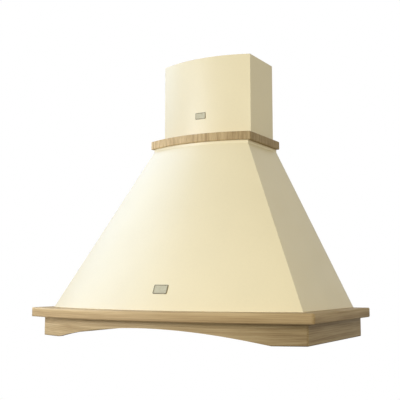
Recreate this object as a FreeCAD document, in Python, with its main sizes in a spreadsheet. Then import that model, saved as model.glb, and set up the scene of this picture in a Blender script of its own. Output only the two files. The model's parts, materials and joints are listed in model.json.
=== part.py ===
import FreeCAD, Part
import math
import os
import re
import Sketcher

# Bow front range hood with a wooden frame, in millimetres.
# X is to the right seen from the front, -Y is the front, Z is up.
# The origin lies on the wall plane, midway between the two hanging holes.

SIZES = {
    # wooden moulding: outer width, depth of its straight sides, how far the front bows out
    "moulding_width": 900,
    "moulding_depth": 426,
    "moulding_bow": 88,
    "moulding_height": 26.5,
    "moulding_breadth": 62,
    "moulding_ease": 2.5,
    "moulding_round": 12,
    # wooden valance under the moulding, and the arch in its front
    "valance_inset": 27.5,
    "valance_height": 55,
    "valance_board": 18,
    "valance_ease": 2,
    "valance_round": 8,
    "arch_foot": 84,
    "arch_rise": 36,
    # painted dome: foot set back from the moulding, neck under the band
    "dome_inset": 47.5,
    "dome_rise": 486.5,
    "dome_sheet": 1,
    "dome_flange": 14,
    "dome_lip": 15,
    "neck_width": 328.5,
    "neck_depth": 198.5,
    "neck_bow": 36,
    "neck_height": 9,
    # wooden band around the foot of the chimney
    "band_width": 348,
    "band_depth": 202,
    "band_bow": 39.5,
    "band_height": 24.7,
    "band_ease": 1.5,
    "band_round": 3,
    "band_gap": 0.5,
    # painted chimney covers
    "chimney_width": 305.3,
    "chimney_depth": 156.3,
    "chimney_bow": 33.4,
    "chimney_height": 272,
    "chimney_sheet": 1,
    "chimney_lip": 15,
    "chimney_seat": 12,
    "telescope_gap": 0.8,
    "upper_lift": 40,
    "upper_sunk": 4,
    "louvre_length": 80,
    "louvre_height": 4,
    "louvre_pitch": 11,
    "louvre_drop": 30,
    "louvre_rows": 5,
    "clip_sheet": 1.5,
    "clip_height": 25,
    "clip_length": 30,
    "clip_setback": 60,
    "clip_gap": 0.3,
    "bracket_sheet": 1.2,
    "bracket_height": 30,
    "bracket_arm": 40,
    "bracket_drop": 6,
    "bracket_edge": 8,
    # back panel and hanging plates
    "back_sheet": 1.5,
    "hook_rise": 430,
    "hook_spacing": 280,
    "hook_bore": 9,
    "hanger_side": 60,
    "hanger_sheet": 3,
    # top plate, duct collar and its flaps
    "plate_sheet": 1.5,
    "plate_fit": 0.3,
    "plate_fold": 18,
    "collar_bore": 115,
    "collar_wall": 2,
    "collar_height": 60,
    "collar_flange": 15,
    "collar_base": 2,
    "collar_step": 3,
    "collar_lap": 3.5,
    "collar_foot": 1,
    "collar_fit": 0.3,
    "collar_setback": 88,
    "ledge_breadth": 4,
    "ledge_height": 2,
    "flap_rise": 14,
    "flap_sheet": 1.5,
    "flap_gap": 0.9,
    "flap_fit": 0.4,
    "knuckle_wall": 2,
    "knuckle_length": 24,
    "knuckle_offset": 25,
    "damper_pin": 3.6,
    "damper_fit": 0.08,
    "gland_offset": 112,
    "gland_setback": 60,
    "gland_bore": 7,
    "gland_thread": 16,
    "gland_head": 22,
    "gland_height": 8,
    "gland_nut": 5,
    "gland_fit": 0.3,
    # underside panel
    "panel_sheet": 1.2,
    "panel_gap": 0.5,
    "panel_rim": 6,
    "panel_fold": 20,
    # grease filters and their ring handles; a strip in front carries the lamps and buttons
    "filter_width": 262,
    "filter_strip": 86,
    "filter_height": 8,
    "filter_border": 14,
    "filter_front": 30,
    "filter_mid": 14,
    "filter_setback": 40,
    "filter_gap": 0.5,
    "mesh_height": 5,
    "mesh_lift": 1.5,
    "tab_width": 20,
    "tab_reach": 8,
    "tab_lift": 0.3,
    "tab_inset": 40,
    "catch_width": 24,
    "catch_height": 5,
    "catch_lap": 8,
    "catch_foot": 13,
    "catch_gap": 0.3,
    "handle_width": 54,
    "handle_depth": 18,
    "handle_bar": 5,
    "handle_sheet": 2.5,
    "handle_lift": 0.5,
    "handle_pin": 3,
    "handle_reach": 3,
    "handle_tail": 2,
    "handle_fit": 0.08,
    "recess_gap": 1,
    "recess_deep": 5.7,
    "recess_edge": 5,
    # lamps
    "lamp_margin": 200,
    "lamp_inset": 41,
    "lamp_barrel": 57,
    "lamp_rise": 14,
    "lamp_rim": 7,
    "lamp_wall": 1.5,
    "lamp_lip": 2,
    "lamp_seat": 1,
    "lamp_fit": 0.3,
    "lens_sheet": 2,
    "module_crown": 2,
    "module_body": 44,
    "module_height": 30,
    # push button control
    "control_inset": 16,
    "control_width": 104,
    "control_breadth": 28,
    "control_round": 6,
    "control_sheet": 2,
    "control_edge": 4,
    "control_neck": 9,
    "button_width": 12,
    "button_pitch": 22,
    "button_proud": 3,
    "button_gap": 0.4,
    "button_stop": 1.5,
    "button_collar": 1.2,
    "button_ease": 1,
    "switch_wall": 2,
    "switch_room": 5,
    "switch_height": 22,
    # blower
    "blower_radius": 122,
    "blower_half": 110,
    "blower_sheet": 1.5,
    "blower_setback": 150,
    "chute_height": 30,
    "chute_half": 62,
    "inlet_bore": 140,
    "guard_breadth": 6,
    "guard_sheet": 3,
    "guard_bar": 3,
    "guard_hub": 12,
    "lug_near": 75,
    "lug_width": 30,
    "lug_height": 30,
    "lug_face": 20,
    "lug_root": 50,
    "hanger_bend": 2,
    "hanger_tall": 60,
    "motor_width": 90,
    "motor_length": 76,
    "motor_flange": 11,
    "motor_flange_sheet": 3,
    "motor_plate_sheet": 2,
    "motor_ease": 4,
    "motor_fit": 0.3,
    "window_width": 50,
    "window_circle": 170,
    "shaft_width": 10,
    "shaft_fit": 0.08,
    "shaft_length": 206,
    "fan_radius": 80,
    "fan_ring": 14,
    "fan_inner": 45,
    "fan_width": 58,
    "fan_sheet": 2,
    "fan_boss": 24,
    "fan_boss_length": 14,
    "blade_sheet": 1.5,
    "blade_lean": 6,
    "blade_inset": 1,
    # terminal box on the back panel
    "box_margin": 5,
    "box_rise": 250,
    "box_width": 110,
    "box_height": 80,
    "box_depth": 45,
    "box_wall": 2,
    "box_lead": 9,
    "capacitor_width": 28,
    "capacitor_length": 60,
    "capacitor_offset": 30,
    "block_width": 40,
    "block_height": 16,
    "block_depth": 18,
    "block_offset": 22,
    # screws
    "screw_shank": 4,
    "screw_head": 8,
    "screw_cap": 2.5,
    "screw_fit": 0.2,
    "screw_deep": 18,
    "wood_screw_inset": 8,
    "panel_screw_inset": 54,
    "screw_deep_panel": 14,
    # plates on the chimney and the dome
    "mark_width": 35,
    "mark_height": 19.5,
    "mark_sheet": 1.5,
    "mark_round": 2,
    "mark_border": 2,
    "mark_recess": 0.5,
    "mark_offset": -1.5,
    "mark_rise": 91,
    "plaque_width": 44,
    "plaque_height": 26.5,
    "plaque_sheet": 1.8,
    "plaque_round": 3,
    "plaque_border": 2.6,
    "plaque_recess": 0.7,
    "plaque_offset": 21,
    "plaque_rise": 55,
    # length by which a cutting shape runs past what it cuts
    "overrun": 10,
}

SWEEP_SHARE = "1.05"
MITRE_SHARE = "0.3"
FAN_BLADES = 24
GUARD_SPOKES = 6
MOTOR_WINDOWS = 4
BUTTON_NAMES = ("light_button", "low_speed_button", "mid_speed_button", "high_speed_button")
SIDES = (("left", "-1"), ("right", "1"))
DOME_SCREW_SHARES = (-0.62, 0, 0.62)
PANEL_SCREW_SHARES = (-0.3, 0.3)
DOME_SIDE_SHARES = (0.3, 0.7)
PANEL_SIDE_SHARES = (0.15, 0.85)
LEFT = 1
RIGHT = -1

doc = FreeCAD.newDocument("range_hood")
sheet = doc.addObject("Spreadsheet::Sheet", "Sizes")
derived = doc.addObject("App::VarSet", "Derived")
known = {}
nodes = []


def fill_sheet():
    """one cell and one alias for each driving dimension"""
    for row, (name, value) in enumerate(SIZES.items(), 1):
        sheet.set(f"A{row}", name)
        sheet.set(f"B{row}", str(value))
        sheet.setAlias(f"B{row}", name)
        known[name] = "Sizes." + name
    doc.recompute()


def refer(text):
    """the expression with each name replaced by its full reference"""
    return re.sub(r"[a-z_]+", lambda word: known.get(word.group(), word.group()), text)


def number(text):
    value = sheet.evalExpression(refer(text))
    return float(getattr(value, "Value", value))


def derive(name, text):
    """a value worked out from the sheet, under a name of its own"""
    derived.addProperty("App::PropertyFloat", name)
    setattr(derived, name, number(text))
    derived.setExpression(name, refer(text))
    known[name] = "Derived." + name
    return name


def spot(across, up):
    return FreeCAD.Vector(number(across), number(up), 0)


fill_sheet()


class Plan:
    """a bow front outline: two straight sides and one arc between their front corners"""

    def __init__(self, name, half, side=None, bow=None, parent=None, gap=None):
        self.name = name
        self.half = derive(f"{name}_half", half)
        if parent:
            self.radius = derive(f"{name}_radius", f"{parent.radius} - ({gap})")
            self.centre = parent.centre
            self.corner = derive(
                f"{name}_corner", f"{self.centre} - sqrt({self.radius}^2 - {self.half}^2)")
        else:
            self.radius = derive(f"{name}_radius", f"({self.half}^2 + ({bow})^2) / (2 * ({bow}))")
            self.centre = derive(f"{name}_centre", f"{self.radius} - ({side}) - ({bow})")
            self.corner = derive(f"{name}_corner", f"-({side})")
        self.front = derive(f"{name}_front", f"{self.centre} - {self.radius}")

    def inside(self, name, gap):
        """the outline that runs at one distance inside this one"""
        return Plan(name, f"{self.half} - ({gap})", parent=self, gap=gap)


# Heights
foot = derive("foot", "-hook_rise")
moulding_top = derive("moulding_top", "foot + moulding_height")
valance_foot = derive("valance_foot", "foot - valance_height")
panel_foot = derive("panel_foot", "foot - panel_sheet")
dome_top = derive("dome_top", "moulding_top + dome_rise")
neck_foot = derive("neck_foot", "dome_top - neck_height")
band_top = derive("band_top", "dome_top + band_height")
plate_top = derive("plate_top", "dome_top - dome_sheet")
plate_foot = derive("plate_foot", "plate_top - plate_sheet")
chimney_top = derive("chimney_top", "dome_top + chimney_height")
upper_foot = derive("upper_foot", "dome_top + upper_lift")
upper_top = derive("upper_top", "chimney_top - upper_sunk")
blower_level = derive("blower_level", "plate_foot - chute_height - blower_radius")

# Outlines seen from above
moulding = Plan("moulding", "moulding_width / 2", "moulding_depth", "moulding_bow")
moulding_in = moulding.inside("moulding_in", "moulding_breadth")
valance = Plan(
    "valance", "moulding_half - valance_inset", "moulding_depth - valance_inset", "moulding_bow")
valance_in = valance.inside("valance_in", "valance_board")
panel = valance.inside("panel", "valance_board + panel_gap")
skirt = Plan("skirt", "moulding_half - dome_inset", "moulding_depth - dome_inset", "moulding_bow")
skirt_in = skirt.inside("skirt_in", "dome_sheet")
flange_in = skirt.inside("flange_in", "dome_flange")
neck = Plan("neck", "neck_width / 2", "neck_depth", "neck_bow")
neck_in = neck.inside("neck_in", "dome_sheet")
plate = neck_in.inside("plate", "plate_fit")
band = Plan("band", "band_width / 2", "band_depth", "band_bow")
chimney = Plan("chimney", "chimney_width / 2", "chimney_depth", "chimney_bow")
chimney_in = chimney.inside("chimney_in", "chimney_sheet")
seat_in = chimney.inside("seat_in", "chimney_seat")
band_in = chimney.inside("band_in", "-band_gap")
upper = chimney.inside("upper", "chimney_sheet + telescope_gap")
upper_in = upper.inside("upper_in", "chimney_sheet")


# Drawing helpers

def new_body(name, across="0", deep="0", up="0"):
    """a sub-part whose own origin may stand away from the hood's"""
    owner = doc.addObject("PartDesign::Body", name)
    owner.Label = name
    place(owner, across, deep, up)
    nodes.append(owner)
    return owner


def group(name, pieces):
    """identical small pieces that share one node as separate solids"""
    for piece in pieces:
        nodes.remove(piece)
    as_node(joined(name, pieces), name)


def place(piece, across, deep, up):
    for axis, text in zip("xyz", (across, deep, up)):
        if text != "0":
            piece.setExpression(f"Placement.Base.{axis}", refer(text))


def origin_part(owner, role):
    return [part for part in owner.Origin.OriginFeatures if part.Role == role][0]


def new_sketch(owner, role, offset="0"):
    """XY faces up, XZ faces the front, YZ faces the right; offset runs the way it faces"""
    drawing = owner.newObject("Sketcher::SketchObject", owner.Name + "_sketch")
    drawing.AttachmentSupport = [(origin_part(owner, role), "")]
    drawing.MapMode = "FlatFace"
    if offset != "0":
        drawing.setExpression("AttachmentOffset.Base.z", refer(offset))
    return drawing


def bind(drawing, constraint, text):
    index = drawing.addConstraint(constraint)
    drawing.setExpression(f"Constraints[{index}]", refer(text))


def hold(drawing, edge, end, across, up):
    """ties one end, or the centre, of an edge to its two places"""
    for kind, text, axis in (("DistanceX", across, -2), ("DistanceY", up, -1)):
        if text == "0":
            drawing.addConstraint(Sketcher.Constraint("PointOnObject", edge, end, axis))
        else:
            value = number(text)
            bind(drawing, Sketcher.Constraint(kind, -1, 1, edge, end, value), text)


def arc_between(start, end, radius, side):
    """the arc of that radius that bulges to one side of the way from start to end"""
    chord = end - start
    middle = (start + end) * 0.5
    normal = FreeCAD.Vector(-chord.y, chord.x, 0).normalize()
    rise = radius - math.sqrt(max(radius**2 - (chord.Length / 2)**2, 0))
    return Part.Arc(start, middle + normal * (rise * side), end)


def nearer_end(drawing, edge, point):
    gaps = [(drawing.getPoint(edge, end) - point).Length for end in (1, 2)]
    return 1 if gaps[0] < gaps[1] else 2


def trace(drawing, path):
    """a closed wire; a point with a radius and a side starts an arc, the others a line"""
    spots = [spot(point[0], point[1]) for point in path]
    ends = spots[1:] + spots[:1]
    edges = []
    for point, start, end in zip(path, spots, ends):
        if len(point) > 2:
            shape = arc_between(start, end, number(point[2]), point[3])
        else:
            shape = Part.LineSegment(start, end)
        edges.append(drawing.addGeometry(shape, False))
    for index, point in enumerate(path):
        edge = edges[index]
        before = edges[index - 1]
        here = nearer_end(drawing, edge, spots[index])
        there = nearer_end(drawing, before, spots[index])
        drawing.addConstraint(Sketcher.Constraint("Coincident", before, there, edge, here))
        hold(drawing, edge, here, point[0], point[1])
        if len(point) > 2:
            bind(drawing, Sketcher.Constraint("Radius", edge, number(point[2])), point[2])


def circle(drawing, across, up, radius):
    shape = Part.Circle(spot(across, up), FreeCAD.Vector(0, 0, 1), number(radius))
    edge = drawing.addGeometry(shape, False)
    hold(drawing, edge, 3, across, up)
    bind(drawing, Sketcher.Constraint("Radius", edge, number(radius)), radius)


def rectangle(drawing, near, far, low, high):
    trace(drawing, [(near, low), (far, low), (far, high), (near, high)])


def rounded(drawing, near, far, low, high, radius):
    """a rectangle with four round corners, drawn anticlockwise"""
    trace(drawing, [
        (f"{near} + {radius}", low), (f"{far} - {radius}", low, radius, RIGHT),
        (far, f"{low} + {radius}"), (far, f"{high} - {radius}", radius, RIGHT),
        (f"{far} - {radius}", high), (f"{near} + {radius}", high, radius, RIGHT),
        (near, f"{high} - {radius}"), (near, f"{low} + {radius}", radius, RIGHT)])


def d_outline(plan, rear):
    return [(plan.half, rear), (plan.half, plan.corner, plan.radius, LEFT),
            (f"-{plan.half}", plan.corner), (f"-{plan.half}", rear)]


def u_outline(outer, inner, rear):
    """the strip between two plans, open at the rear"""
    return [(outer.half, rear), (outer.half, outer.corner, outer.radius, LEFT),
            (f"-{outer.half}", outer.corner), (f"-{outer.half}", rear),
            (f"-{inner.half}", rear), (f"-{inner.half}", inner.corner, inner.radius, RIGHT),
            (inner.half, inner.corner), (inner.half, rear)]


def lipped_outline(outer, inner, rear, thickness, lip):
    """the same strip with its rear ends turned inward"""
    fold = f"{rear} - {thickness}"
    near = f"{outer.half} - {lip}"
    return [(outer.half, rear), (outer.half, outer.corner, outer.radius, LEFT),
            (f"-{outer.half}", outer.corner), (f"-{outer.half}", rear),
            (f"-({near})", rear), (f"-({near})", fold),
            (f"-{inner.half}", fold), (f"-{inner.half}", inner.corner, inner.radius, RIGHT),
            (inner.half, inner.corner), (inner.half, fold),
            (near, fold), (near, rear)]


def pad(owner, drawing, length, back=False, both=False):
    feature = owner.newObject("PartDesign::Pad", owner.Name + "_pad")
    feature.Profile = drawing
    feature.setExpression("Length", refer(length))
    feature.Reversed = back
    if both:
        feature.SideType = "Symmetric"
    return feature


def pocket(owner, drawing, length=None, back=False, both=False):
    """without a length it cuts right through, both ways"""
    feature = owner.newObject("PartDesign::Pocket", owner.Name + "_pocket")
    feature.Profile = drawing
    if length is None:
        feature.Type = "ThroughAll"
        feature.SideType = "Symmetric"
        return feature
    feature.setExpression("Length", refer(length))
    feature.Reversed = back
    if both:
        feature.SideType = "Symmetric"
    return feature


def revolve(owner, drawing, axis, angle=None):
    feature = owner.newObject("PartDesign::Revolution", owner.Name + "_turn")
    feature.Profile = drawing
    feature.ReferenceAxis = (drawing, [axis])
    if angle is None:
        feature.Angle = 360
        return feature
    feature.Midplane = True
    feature.setExpression("Angle", refer(angle))
    return feature


def polar(owner, feature, count):
    """repeats a feature about the sub-part's own X axis"""
    pattern = owner.newObject("PartDesign::PolarPattern", owner.Name + "_ring")
    pattern.Originals = [feature]
    pattern.Axis = (origin_part(owner, "X_Axis"), [""])
    pattern.Angle = 360
    pattern.Occurrences = count
    owner.Tip = pattern
    return pattern


def turned(name, path, across, deep, up):
    """a round piece on an upright axis; its outline is radius and height"""
    owner = new_body(name, across, deep, up)
    drawing = new_sketch(owner, "XZ_Plane")
    trace(drawing, path)
    revolve(owner, drawing, "V_Axis")
    return owner


def new_box(name, low, size):
    piece = doc.addObject("Part::Box", name)
    for side, text in zip(("Length", "Width", "Height"), size):
        piece.setExpression(side, refer(text))
    place(piece, *low)
    return piece


def new_cylinder(name, radius, length, base, way="up"):
    piece = doc.addObject("Part::Cylinder", name)
    piece.setExpression("Radius", refer(radius))
    piece.setExpression("Height", refer(length))
    if way == "right":
        piece.Placement.Rotation = FreeCAD.Rotation(FreeCAD.Vector(0, 1, 0), 90)
    if way == "front":
        piece.Placement.Rotation = FreeCAD.Rotation(FreeCAD.Vector(1, 0, 0), 90)
    place(piece, *base)
    return piece


def joined(name, pieces):
    result = doc.addObject("Part::MultiFuse", name)
    result.Shapes = pieces
    return result


def without(name, base, tool):
    result = doc.addObject("Part::Cut", name)
    result.Base = base
    result.Tool = tool
    return result


def as_node(piece, name):
    piece.Label = name
    nodes.append(piece)


# Wooden pieces

def mitre_points(outer, inner, side):
    """a line through both corners of a mitre, drawn on past them"""
    across = f"{outer.half} - {inner.half}"
    deep = f"({outer.corner} - {inner.corner})"
    near = (f"{side} * ({inner.half} - {MITRE_SHARE} * ({across}))",
            f"{inner.corner} - {MITRE_SHARE} * {deep}")
    far = (f"{side} * ({outer.half} + {MITRE_SHARE} * ({across}))",
           f"{outer.corner} + {MITRE_SHARE} * {deep}")
    return near, far


def mitre_cut(owner, outer, inner, side, end):
    """takes away what lies past the mitre, as far as end"""
    near, far = mitre_points(outer, inner, side)
    out = f"{side} * ({outer.half} + {outer.half} - {inner.half} + overrun)"
    drawing = new_sketch(owner, "XY_Plane")
    trace(drawing, [near, far, (out, far[1]), (out, end), (near[0], end)])
    pocket(owner, drawing)


def soft_corner(owner, outer, side, radius):
    """rounds the upright edge where a front rail and a side rail meet"""
    lean = f"({outer.half} / {outer.radius})"
    short = f"{radius} * (1 - {lean})"
    reach = f"{short} / sqrt(1 - {lean}^2)"
    front = (f"{side} * ({outer.half} - {short})", f"{outer.corner} - {reach} * {lean}")
    flank = (f"{side} * {outer.half}", f"{outer.corner} + {reach}")
    out = f"{side} * ({outer.half} + overrun)"
    ahead = f"{outer.corner} - overrun"
    bulge = RIGHT if side == "1" else LEFT
    drawing = new_sketch(owner, "XY_Plane")
    trace(drawing, [(*front, radius, bulge), flank, (out, flank[1]), (out, ahead),
                    (front[0], ahead)])
    pocket(owner, drawing)


def edge_profile(outer, inner, low, high, low_ease, high_ease):
    """a rail's section, its outer edges eased; it runs from the back edge outward"""
    path = [(inner, low)]
    if low_ease:
        path += [(f"{outer} + {low_ease}", low), (outer, f"{low} + {low_ease}")]
    else:
        path += [(outer, low)]
    if high_ease:
        path += [(outer, f"{high} - {high_ease}"), (f"{outer} + {high_ease}", high)]
    else:
        path += [(outer, high)]
    return path + [(inner, high)]


def bowed_rail(name, outer, inner, back, low, high, low_ease, high_ease):
    """a front rail: its section swept about the bow's centre, mitred at both ends"""
    owner = new_body(name)
    drawing = new_sketch(owner, "YZ_Plane")
    trace(drawing, edge_profile(outer.front, back, low, high, low_ease, high_ease))
    centre = Part.LineSegment(spot(outer.centre, low), spot(outer.centre, high))
    axis = drawing.addGeometry(centre, True)
    hold(drawing, axis, 1, outer.centre, low)
    hold(drawing, axis, 2, outer.centre, high)
    revolve(owner, drawing, "Axis0", f"2 * {SWEEP_SHARE} * asin({outer.half} / {outer.radius})")
    for label, side in SIDES:
        mitre_cut(owner, outer, inner, side, "0")
        soft_corner(owner, outer, side, f"{outer.name}_round")
    return owner


def side_rail(name, outer, inner, side, low, high, low_ease, high_ease):
    """a side rail from the wall to its mitre"""
    owner = new_body(name)
    drawing = new_sketch(owner, "XZ_Plane")
    path = edge_profile(f"-{outer.half}", f"-{inner.half}", low, high, low_ease, high_ease)
    if side == "1":
        path = [(f"-({across})", up) for across, up in path]
    trace(drawing, path)
    reach = f"{outer.half} - {inner.half} + overrun - {outer.corner}"
    pad(owner, drawing, reach)
    mitre_cut(owner, outer, inner, side, f"-({reach}) - overrun")
    soft_corner(owner, outer, side, f"{outer.name}_round")
    return owner


def drill(owner, places, level, length, up):
    """pilot holes from one level, upward or downward"""
    drawing = new_sketch(owner, "XY_Plane", level)
    for across, deep in places:
        circle(drawing, across, deep, "screw_shank / 2 + screw_fit")
    pocket(owner, drawing, length, back=up)


def front_places(plan, inset, shares):
    """places along the bowed front, a little inside a plan"""
    return [(f"{share} * {plan.half}",
             f"{plan.centre} - sqrt(({plan.radius} - {inset})^2 - ({share} * {plan.half})^2)")
            for share in shares]


def side_places(plan, inset, shares, side):
    return [(f"{side} * ({plan.half} - {inset})", f"{share} * {plan.corner}") for share in shares]


DOME_FRONT = front_places(skirt, "wood_screw_inset", DOME_SCREW_SHARES)
PANEL_FRONT = front_places(moulding, "panel_screw_inset", PANEL_SCREW_SHARES)
DOME_SIDE = {name: side_places(skirt, "wood_screw_inset", DOME_SIDE_SHARES, side)
             for name, side in SIDES}
PANEL_SIDE = {name: side_places(moulding, "panel_screw_inset", PANEL_SIDE_SHARES, side)
              for name, side in SIDES}


def make_moulding():
    rail = bowed_rail("moulding_front", moulding, moulding_in, moulding_in.front,
                      "foot", "moulding_top", "moulding_ease", "moulding_ease")
    drill(rail, DOME_FRONT, "moulding_top", "screw_deep", False)
    drill(rail, PANEL_FRONT, "foot", "screw_deep_panel", True)
    for name, side in SIDES:
        rail = side_rail(f"moulding_{name}", moulding, moulding_in, side,
                         "foot", "moulding_top", "moulding_ease", "moulding_ease")
        drill(rail, DOME_SIDE[name], "moulding_top", "screw_deep", False)
        drill(rail, PANEL_SIDE[name], "foot", "screw_deep_panel", True)


def make_valance():
    board = bowed_rail("valance_front", valance, valance_in, valance_in.front,
                       "valance_foot", "foot", "valance_ease", None)
    arch_half = derive("arch_half", "valance_half - arch_foot")
    arch_radius = derive("arch_radius", "(arch_half^2 + arch_rise^2) / (2 * arch_rise)")
    drawing = new_sketch(board, "XZ_Plane")
    trace(drawing, [(f"-{arch_half}", valance_foot, arch_radius, LEFT), (arch_half, valance_foot),
                    (arch_half, f"{valance_foot} - overrun"),
                    (f"-{arch_half}", f"{valance_foot} - overrun")])
    pocket(board, drawing)
    for name, side in SIDES:
        side_rail(f"valance_{name}", valance, valance_in, side,
                  "valance_foot", "foot", "valance_ease", None)


def make_band():
    """the front piece is as deep as the ledge before the chimney, so it is cut to the chimney"""
    piece = bowed_rail("band_front", band, band_in, seat_in.front,
                       "dome_top", "band_top", "band_ease", "band_ease")
    drawing = new_sketch(piece, "XY_Plane")
    trace(drawing, d_outline(band_in, "0"))
    pocket(piece, drawing)
    for name, side in SIDES:
        side_rail(f"band_{name}", band, band_in, side,
                  "dome_top", "band_top", "band_ease", "band_ease")


# Painted sheet metal

def make_dome():
    """a ruled shell with a neck, a foot flange and a top flange that carries the chimney"""
    owner = new_body("dome_shell")
    rear = "-back_sheet"
    low = new_sketch(owner, "XY_Plane", moulding_top)
    trace(low, lipped_outline(skirt, skirt_in, rear, "dome_sheet", "dome_lip"))
    high = new_sketch(owner, "XY_Plane", neck_foot)
    trace(high, lipped_outline(neck, neck_in, rear, "dome_sheet", "dome_lip"))
    shell = owner.newObject("PartDesign::AdditiveLoft", "dome_loft")
    shell.Profile = low
    shell.Sections = [high]
    shell.Ruled = True
    collar = new_sketch(owner, "XY_Plane", neck_foot)
    trace(collar, lipped_outline(neck, neck_in, rear, "dome_sheet", "dome_lip"))
    pad(owner, collar, "neck_height")
    flange = new_sketch(owner, "XY_Plane", moulding_top)
    trace(flange, u_outline(skirt, flange_in, rear))
    pad(owner, flange, "dome_sheet")
    seat = new_sketch(owner, "XY_Plane", plate_top)
    trace(seat, u_outline(neck, seat_in, rear))
    pad(owner, seat, "dome_sheet")
    drill(owner, DOME_FRONT + DOME_SIDE["left"] + DOME_SIDE["right"],
          f"{moulding_top} + dome_sheet", "dome_sheet", False)
    drill(owner, CLIP_PLACES, "dome_top", "dome_sheet", False)


def make_cover(name, outer, inner, rear, low, high):
    owner = new_body(name)
    drawing = new_sketch(owner, "XY_Plane", low)
    trace(drawing, lipped_outline(outer, inner, rear, "chimney_sheet", "chimney_lip"))
    pad(owner, drawing, f"{high} - {low}")
    return owner


def cut_louvres(owner):
    """rows of slots right through both sides of the upper cover"""
    drawing = new_sketch(owner, "YZ_Plane")
    middle = f"{upper.corner} / 2"
    top = "upper_top - louvre_drop"
    rectangle(drawing, f"{middle} - louvre_length / 2", f"{middle} + louvre_length / 2",
              f"{top} - louvre_height", top)
    row = pocket(owner, drawing)
    rows = owner.newObject("PartDesign::LinearPattern", "louvre_rows")
    rows.Originals = [row]
    rows.Direction = (origin_part(owner, "Z_Axis"), [""])
    rows.Reversed = True
    rows.setExpression("Length", refer("louvre_pitch * (louvre_rows - 1)"))
    rows.setExpression("Occurrences", refer("louvre_rows"))
    owner.Tip = rows


def make_upper_bracket():
    """wall bracket in the top of the upper cover, with arms along its sides"""
    lip_face = "(chimney_sheet + clip_gap)"
    base_half = derive("bracket_half", "chimney_half - chimney_lip - bracket_edge")
    arm = derive("arm_half", "upper_in_half - clip_gap")
    step = "(chimney_sheet + clip_gap + chimney_sheet + clip_gap)"
    right = [(base_half, "0"), (base_half, f"-{step}"), (arm, f"-{step}"),
             (arm, f"-{step} - bracket_arm"), (f"{arm} - bracket_sheet", f"-{step} - bracket_arm"),
             (f"{arm} - bracket_sheet", f"-{step} - bracket_sheet"),
             (f"{base_half} - bracket_sheet", f"-{step} - bracket_sheet"),
             (f"{base_half} - bracket_sheet", "-bracket_sheet")]
    left = [(f"-({across})", deep) for across, deep in reversed(right)]
    owner = new_body("chimney_upper_bracket")
    drawing = new_sketch(owner, "XY_Plane", "upper_top - bracket_drop - bracket_height")
    trace(drawing, right + left)
    pad(owner, drawing, "bracket_height")


CLIP_ACROSS = "chimney_in_half - clip_gap - clip_sheet - screw_head / 2 - clip_gap"
CLIP_DEEP = "-(clip_setback + clip_length / 2)"
CLIP_PLACES = [(f"{side} * ({CLIP_ACROSS})", CLIP_DEEP) for name, side in SIDES]


def make_clips():
    """angles on the top flange that hold the foot of the lower cover"""
    clips = []
    for name, side in SIDES:
        owner = new_body(f"chimney_clip_{name}")
        face = f"{side} * (chimney_in_half - clip_gap)"
        inner = f"{side} * (chimney_in_half - clip_gap - clip_sheet)"
        toe = f"{side} * seat_in_half"
        drawing = new_sketch(owner, "XZ_Plane", "clip_setback")
        trace(drawing, [(face, dome_top), (face, "dome_top + clip_height"),
                        (inner, "dome_top + clip_height"), (inner, "dome_top + clip_sheet"),
                        (toe, "dome_top + clip_sheet"), (toe, dome_top)])
        pad(owner, drawing, "clip_length")
        place_here = [(f"{side} * ({CLIP_ACROSS})", CLIP_DEEP)]
        drill(owner, place_here, "dome_top + clip_sheet", "clip_sheet", False)
        clips.append(owner)
    group("chimney_clips", clips)


# Structure

def make_back_panel():
    owner = new_body("back_panel")
    low_half = "moulding_in_half - panel_gap"
    right = [(low_half, foot), (low_half, moulding_top), (skirt.half, moulding_top),
             (neck.half, neck_foot), (neck.half, dome_top)]
    left = [(f"-({across})", up) for across, up in reversed(right)]
    drawing = new_sketch(owner, "XZ_Plane")
    trace(drawing, right + left)
    pad(owner, drawing, "back_sheet")
    holes = new_sketch(owner, "XZ_Plane")
    for name, side in SIDES:
        circle(holes, f"{side} * hook_spacing / 2", "0", "hook_bore / 2")
    pocket(owner, holes)
    fixings = new_sketch(owner, "XZ_Plane")
    for across, up in BLOWER_PLACES:
        circle(fixings, across, up, "screw_shank / 2 + screw_fit")
    pocket(owner, fixings)


def make_hanging_plates():
    plates = []
    for name, side in SIDES:
        owner = new_body(f"hanging_plate_{name}")
        middle = f"{side} * hook_spacing / 2"
        drawing = new_sketch(owner, "XZ_Plane", "back_sheet")
        rounded(drawing, f"{middle} - hanger_side / 2", f"{middle} + hanger_side / 2",
                "-hanger_side / 2", "hanger_side / 2", "hanger_sheet")
        pad(owner, drawing, "hanger_sheet")
        hole = new_sketch(owner, "XZ_Plane")
        circle(hole, middle, "0", "hook_bore / 2")
        pocket(owner, hole)
        plates.append(owner)
    group("hanging_plates", plates)


def make_top_plate():
    """closes the neck under the top flange, with a fold down along the back panel"""
    owner = new_body("top_plate")
    rear = "-back_sheet - dome_sheet - plate_fit"
    drawing = new_sketch(owner, "XY_Plane", plate_foot)
    trace(drawing, d_outline(plate, rear))
    circle(drawing, "0", "-collar_setback", "collar_bore / 2")
    circle(drawing, "gland_offset", "-gland_setback", "gland_thread / 2 + gland_fit")
    pad(owner, drawing, "plate_sheet")
    fold_half = "plate_half - dome_lip - plate_sheet"
    fold = new_sketch(owner, "XY_Plane", "plate_top - plate_fold")
    rectangle(fold, f"-({fold_half})", fold_half, f"{rear} - plate_sheet", "-back_sheet")
    pad(owner, fold, "plate_fold")
    drill(owner, CLIP_PLACES, plate_top, "plate_sheet", False)


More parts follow.
